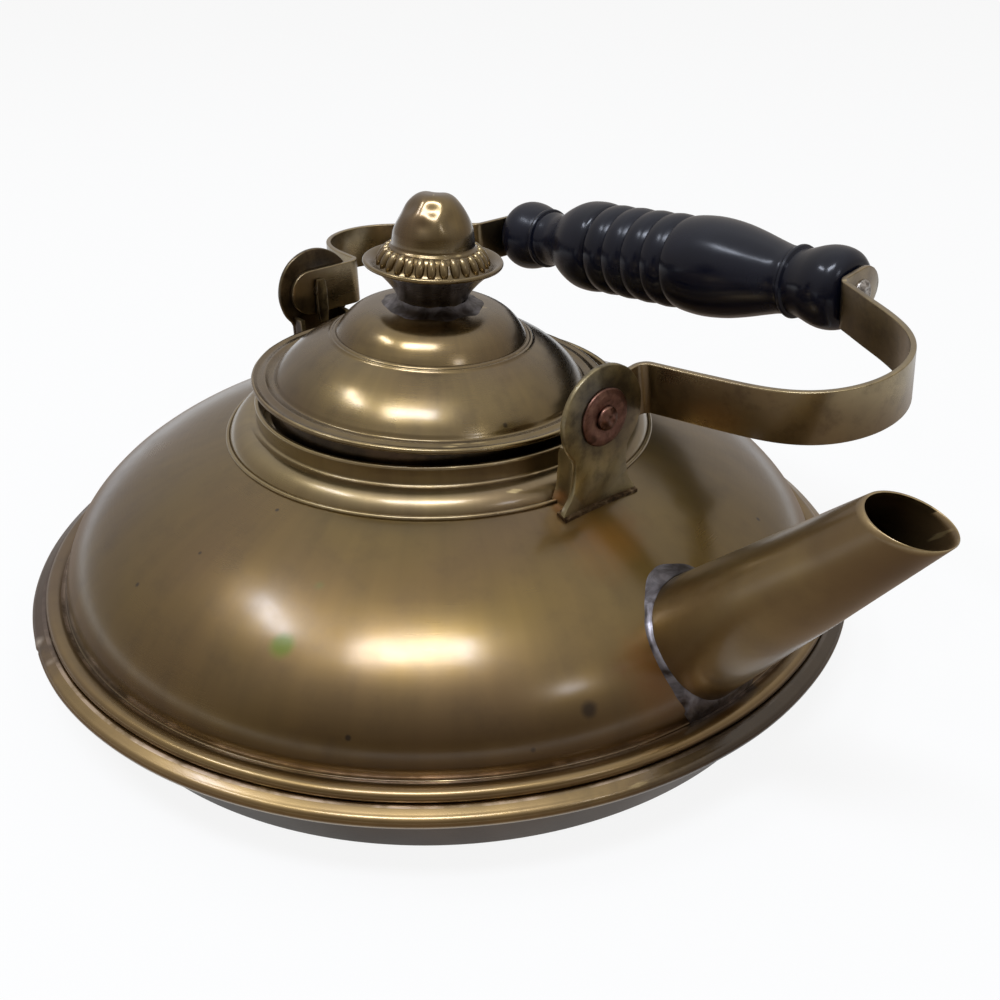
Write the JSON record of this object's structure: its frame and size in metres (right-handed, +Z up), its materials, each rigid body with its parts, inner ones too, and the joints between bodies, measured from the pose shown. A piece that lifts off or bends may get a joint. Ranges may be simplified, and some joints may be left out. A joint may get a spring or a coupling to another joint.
{
  "type": "brass kettle with swinging bail handle and lift-off lid",
  "caption": "Squat round brass kettle with a straight conical spout, a domed lift-off lid with a beaded knob and a swinging bail with a turned black wooden grip.",
  "frame": {"origin": "centre of the flat round base, on the plane it stands on", "axes": "+Z up; +X from the body's middle towards the spout; +Y towards the side the bail has fallen to"},
  "size_m": [0.2536, 0.22, 0.1168],
  "materials": {
    "body_brass": "aged sheet brass, olive-brown patina over a satin polish",
    "pan_brass": "aged sheet brass, duller and greyer towards the base",
    "rim_brass": "aged brass moulding, worn bright along its top",
    "spout_brass": "aged sheet brass, satin, with rubbed streaks",
    "lid_brass": "aged spun brass, satin",
    "knob_brass": "aged thin sheet brass, dented, polished on its high spots",
    "ear_brass": "aged sheet brass with torn, orange edges",
    "strap_brass": "dark aged brass strap, satin",
    "dark_brass": "dark brown tarnished brass",
    "copper": "dull pinkish copper washers",
    "solder": "dull grey tin solder, lumpy",
    "rod_steel": "peened iron rod end, whitish",
    "ebonised_wood": "turned wood, ebonised and glossy"
  },
  "bodies": {
    "kettle": {"base_pan": "pan_brass", "rim_moulding": "rim_brass", "body_shell": "body_brass", "neck_collar": "body_brass", "spout": "spout_brass", "spout_solder": "solder", "ear_front": "ear_brass", "ear_rear": "dark_brass", "ear_solder": "solder", "washer_front": "copper", "washer_rear": "copper", "pin_front": "dark_brass", "pin_rear": "dark_brass"},
    "bail": {"bail_arm_front": "strap_brass", "bail_arm_rear": "strap_brass", "grip": "ebonised_wood", "grip_rod": "rod_steel"},
    "lid": {"lid_shell": "lid_brass", "lid_skirt": "dark_brass", "knob_saucer": "knob_brass", "knob_beads": "knob_brass", "knob_cap": "knob_brass", "knob_solder": "solder"}
  },
  "joints": [
    {"name": "bail_swing", "type": "hinge", "parent": "kettle", "child": "bail", "pos_m": [0, 0, 0.077], "axis": [1, 0, 0], "range_deg": [0, 171]},
    {"name": "lid_lift", "type": "slide", "parent": "kettle", "child": "lid", "axis": [0, 0, 1], "range_m": [0, 0.06]}
  ]
}
